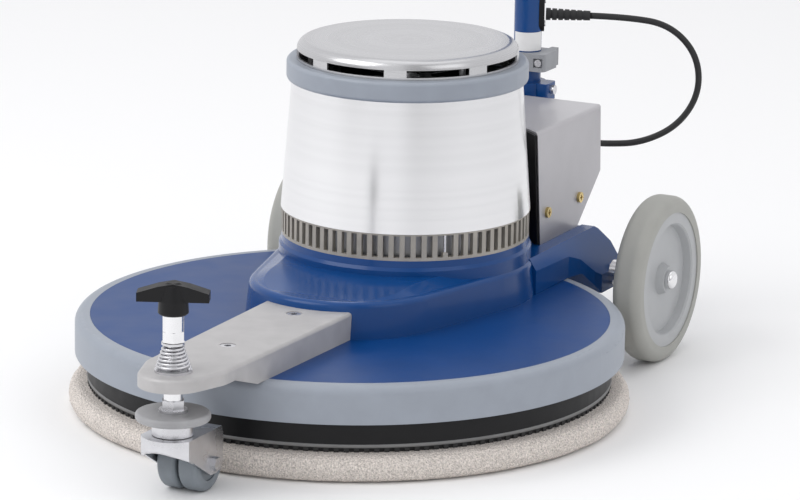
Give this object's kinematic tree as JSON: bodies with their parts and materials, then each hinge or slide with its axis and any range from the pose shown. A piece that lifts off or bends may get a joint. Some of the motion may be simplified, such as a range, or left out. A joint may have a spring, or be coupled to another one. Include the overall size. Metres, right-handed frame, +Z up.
{
  "type": "rotary floor machine",
  "caption": "Single-disc floor polisher: round deck with bumper, upright motor, tilting tube handle, rear wheels and a screw-adjusted front caster.",
  "frame": {"origin": "on the floor, on the axis of the polishing disc", "axes": "+Z up; -Y to the front caster; +Y to the handle; +X to the machine's left seen from the handle"},
  "size_m": [0.5079, 0.8035, 1.16],
  "materials": {
    "blue_paint": "gloss deep blue paint",
    "bumper_grey": "satin moulded grey",
    "cast_alloy": "satin cast",
    "zinc": "bright zinc plate",
    "grille_paint": "beige-grey cast, painted",
    "polished_steel": "polished",
    "cap_steel": "brushed round the axis",
    "motor_alloy": "cast and turned",
    "lamination": "varnished laminations and windings",
    "belt_rubber": "matt ribbed",
    "cover_paint": "grey satin paint on sheet",
    "black_rubber": "matt black",
    "yellow_zinc": "yellow passivated zinc",
    "black_plastic": "black, fine grain",
    "chromed": "bright",
    "pad_fibre": "beige non-woven fibre with flecks",
    "buffer_grey": "satin grey",
    "caster_grey": "satin grey",
    "tyre_grey": "warm grey, matt",
    "rim_grey": "light grey satin",
    "handle_steel": "bright plated tube",
    "label_white": "blank white film",
    "bracket_grey": "grey, fine grain",
    "yellow_plastic": "moulded, satin"
  },
  "bodies": {
    "chassis": {"main_casting": "blue_paint", "deck_shell": "blue_paint", "deck_bumper": "bumper_grey", "front_arm": "cast_alloy", "arm_screws": "zinc", "arm_washer": "zinc", "motor_grille": "grille_paint", "motor_sleeve": "polished_steel", "motor_bumper": "bumper_grey", "motor_cap": "cap_steel", "motor_frame": "motor_alloy", "motor_stator": "lamination", "ball_bearings": "zinc", "drive_belt": "belt_rubber", "electrics_cover": "cover_paint", "cover_edge_seal": "black_rubber", "cover_screws": "yellow_zinc", "run_capacitor": "black_plastic", "cord_gland": "black_plastic", "wheel_axle": "chromed", "hinge_pin": "zinc"},
    "disc_unit": {"disc_spindle": "zinc", "disc_pulley": "motor_alloy", "pad_driver": "black_plastic", "grip_facing": "black_plastic", "polishing_pad": "pad_fibre"},
    "rotor": {"motor_shaft": "zinc", "rotor_core": "lamination", "cooling_fan": "black_plastic", "motor_pulley": "motor_alloy"},
    "lift_unit": {"spring_seat": "zinc", "caster_spring": "zinc"},
    "screw_unit": {"t_knob": "black_plastic", "adjuster_screw": "chromed", "lock_nut": "zinc", "buffer_disc": "buffer_grey", "swivel_head": "zinc"},
    "fork_unit": {"caster_fork": "zinc", "caster_axle_bolt": "zinc"},
    "small_wheel_left": {"caster_wheel_left": "caster_grey"},
    "small_wheel_right": {"caster_wheel_right": "caster_grey"},
    "rear_wheel_left": {"rear_tyre_left": "tyre_grey", "rear_rim_left": "rim_grey"},
    "rear_wheel_right": {"rear_tyre_right": "tyre_grey", "rear_rim_right": "rim_grey"},
    "handle": {"handle_socket": "handle_steel", "handle_tube": "handle_steel", "label_plate": "label_white", "hook_bracket": "bracket_grey", "handle_screws": "zinc", "gland_plate": "black_plastic", "bend_relief": "black_rubber", "link_cord": "black_rubber", "handle_head": "black_plastic", "hand_grips": "black_rubber", "mains_gland": "black_plastic"},
    "hook_unit": {"upper_hook": "bracket_grey"},
    "lever_unit_left": {"lever_left": "bracket_grey"},
    "lever_unit_right": {"lever_right": "bracket_grey"},
    "button_unit": {"lock_button": "yellow_plastic"}
  },
  "joints": [
    {"name": "disc_spin", "type": "hinge", "parent": "chassis", "child": "disc_unit", "pos_m": [0, 0, 0.06], "axis": [0, 0, 1], "continuous": true},
    {"name": "motor_spin", "type": "hinge", "parent": "chassis", "child": "rotor", "pos_m": [0, 0.1092, 0.2], "axis": [0, 0, 1], "continuous": true},
    {"name": "caster_lift", "type": "slide", "parent": "chassis", "child": "lift_unit", "axis": [0, 0, 1], "range_m": [-0.005, 0.008], "deforming": ["caster_spring"]},
    {"name": "screw_turn", "type": "hinge", "parent": "lift_unit", "child": "screw_unit", "pos_m": [0, -0.326, 0.09], "axis": [0, 0, 1], "range_deg": [-450, 720]},
    {"name": "caster_swivel", "type": "hinge", "parent": "screw_unit", "child": "fork_unit", "pos_m": [0, -0.326, 0.05], "axis": [0, 0, 1], "continuous": true},
    {"name": "caster_roll_left", "type": "hinge", "parent": "fork_unit", "child": "small_wheel_left", "pos_m": [0, -0.297, 0.025], "axis": [1, 0, 0], "continuous": true},
    {"name": "caster_roll_right", "type": "hinge", "parent": "fork_unit", "child": "small_wheel_right", "pos_m": [0, -0.297, 0.025], "axis": [1, 0, 0], "continuous": true},
    {"name": "wheel_roll_left", "type": "hinge", "parent": "chassis", "child": "rear_wheel_left", "pos_m": [0, 0.278, 0.0785], "axis": [1, 0, 0], "continuous": true},
    {"name": "wheel_roll_right", "type": "hinge", "parent": "chassis", "child": "rear_wheel_right", "pos_m": [0, 0.278, 0.0785], "axis": [1, 0, 0], "continuous": true},
    {"name": "handle_tilt", "type": "hinge", "parent": "chassis", "child": "handle", "pos_m": [0, 0.369, 0.1], "axis": [-1, 0, 0], "range_deg": [0, 55]},
    {"name": "hook_turn", "type": "hinge", "parent": "handle", "child": "hook_unit", "pos_m": [0, 0.369, 0.936], "axis": [0, 0, 1], "range_deg": [-90, 90]},
    {"name": "lever_left_press", "type": "hinge", "parent": "handle", "child": "lever_unit_left", "pos_m": [-0.058, 0.369, 1.092], "axis": [0, 1, 0], "range_deg": [0, 6], "stiffness_Nm_per_rad": 2, "springref_deg": -2.86},
    {"name": "lever_right_press", "type": "hinge", "parent": "handle", "child": "lever_unit_right", "pos_m": [0.058, 0.369, 1.092], "axis": [0, -1, 0], "range_deg": [0, 6], "stiffness_Nm_per_rad": 2, "springref_deg": -2.86},
    {"name": "button_press", "type": "slide", "parent": "handle", "child": "button_unit", "axis": [0, 1, 0], "range_m": [0, 0.004], "stiffness_N_per_m": 600, "springref_m": -0.001}
  ],
  "couplings": [
    {"joint": "motor_spin", "follows": "disc_spin", "ratio": 1.4286},
    {"joint": "screw_turn", "follows": "caster_lift", "rad_per_m": 1570.8}
  ]
}
